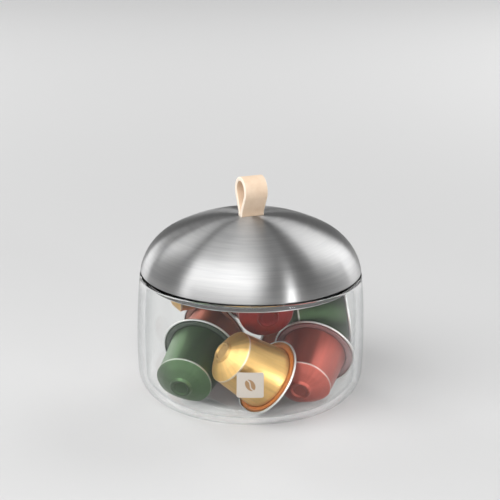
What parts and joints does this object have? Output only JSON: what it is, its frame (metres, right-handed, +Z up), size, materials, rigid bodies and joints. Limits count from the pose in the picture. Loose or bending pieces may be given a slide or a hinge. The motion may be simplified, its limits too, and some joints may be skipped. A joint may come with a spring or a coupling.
{
  "type": "coffee capsule dispenser",
  "caption": "Round clear glass jar with a pile of coffee capsules in it, closed by a domed brushed steel lid with a silicone seal and a folded leather pull.",
  "frame": {"origin": "centre of the foot ring, on the table under the middle of the jar", "axes": "+Z up the jar's axis, +Y to the back, -Y to the front with the small label, +X to the right seen from the front"},
  "size_m": [0.106, 0.1062, 0.1056],
  "materials": {
    "clear_glass": "clear, polished",
    "label": "frosted film, bare",
    "brushed_steel": "spun, brushed in circles",
    "plain_steel": "satin",
    "silicone": "milky, soft",
    "leather": "natural, undyed, burnished edges",
    "foil": "bright foil",
    "capsule_seal": "soft",
    "coffee": "ground, pressed",
    "capsule_gold": "anodised, satin, fine brushing",
    "capsule_red": "anodised, satin, fine brushing",
    "capsule_green": "anodised, satin, fine brushing",
    "capsule_copper": "anodised, satin, fine brushing"
  },
  "bodies": {
    "bowl": {"glass_bowl": "clear_glass", "front_label": "label", "capsule_1_cup": "capsule_gold", "capsule_1_foil": "foil", "capsule_1_ring": "capsule_seal", "capsule_1_coffee": "coffee", "capsule_2_cup": "capsule_red", "capsule_2_foil": "foil", "capsule_2_ring": "capsule_seal", "capsule_2_coffee": "coffee", "capsule_3_cup": "capsule_green", "capsule_3_foil": "foil", "capsule_3_ring": "capsule_seal", "capsule_3_coffee": "coffee", "capsule_4_cup": "capsule_gold", "capsule_4_foil": "foil", "capsule_4_ring": "capsule_seal", "capsule_4_coffee": "coffee", "capsule_5_cup": "capsule_copper", "capsule_5_foil": "foil", "capsule_5_ring": "capsule_seal", "capsule_5_coffee": "coffee", "capsule_6_cup": "capsule_red", "capsule_6_foil": "foil", "capsule_6_ring": "capsule_seal", "capsule_6_coffee": "coffee", "capsule_7_cup": "capsule_red", "capsule_7_foil": "foil", "capsule_7_ring": "capsule_seal", "capsule_7_coffee": "coffee", "capsule_8_cup": "capsule_green", "capsule_8_foil": "foil", "capsule_8_ring": "capsule_seal", "capsule_8_coffee": "coffee", "capsule_9_cup": "capsule_copper", "capsule_9_foil": "foil", "capsule_9_ring": "capsule_seal", "capsule_9_coffee": "coffee"},
    "lid_seal": {"lid_seal": "silicone"},
    "lid": {"lid_dome": "brushed_steel", "lid_collar": "plain_steel", "strap_tails": "leather", "strap_sleeve": "plain_steel", "binding_post": "plain_steel", "post_screw": "plain_steel"},
    "handle": {"strap_loop": "leather"}
  },
  "joints": [
    {"name": "lid_lift", "type": "slide", "parent": "bowl", "child": "lid_seal", "axis": [0, 0, 1], "range_m": [0, 0.09]},
    {"name": "lid_turn", "type": "hinge", "parent": "lid_seal", "child": "lid", "pos_m": [0, 0, 0.0609], "axis": [0, 0, 1], "continuous": true},
    {"name": "handle_flex", "type": "hinge", "parent": "lid", "child": "handle", "pos_m": [0, 0, 0.08958], "axis": [0.9272, 0.3746, 0], "range_deg": [-32, 32], "stiffness_Nm_per_rad": 0.005}
  ]
}
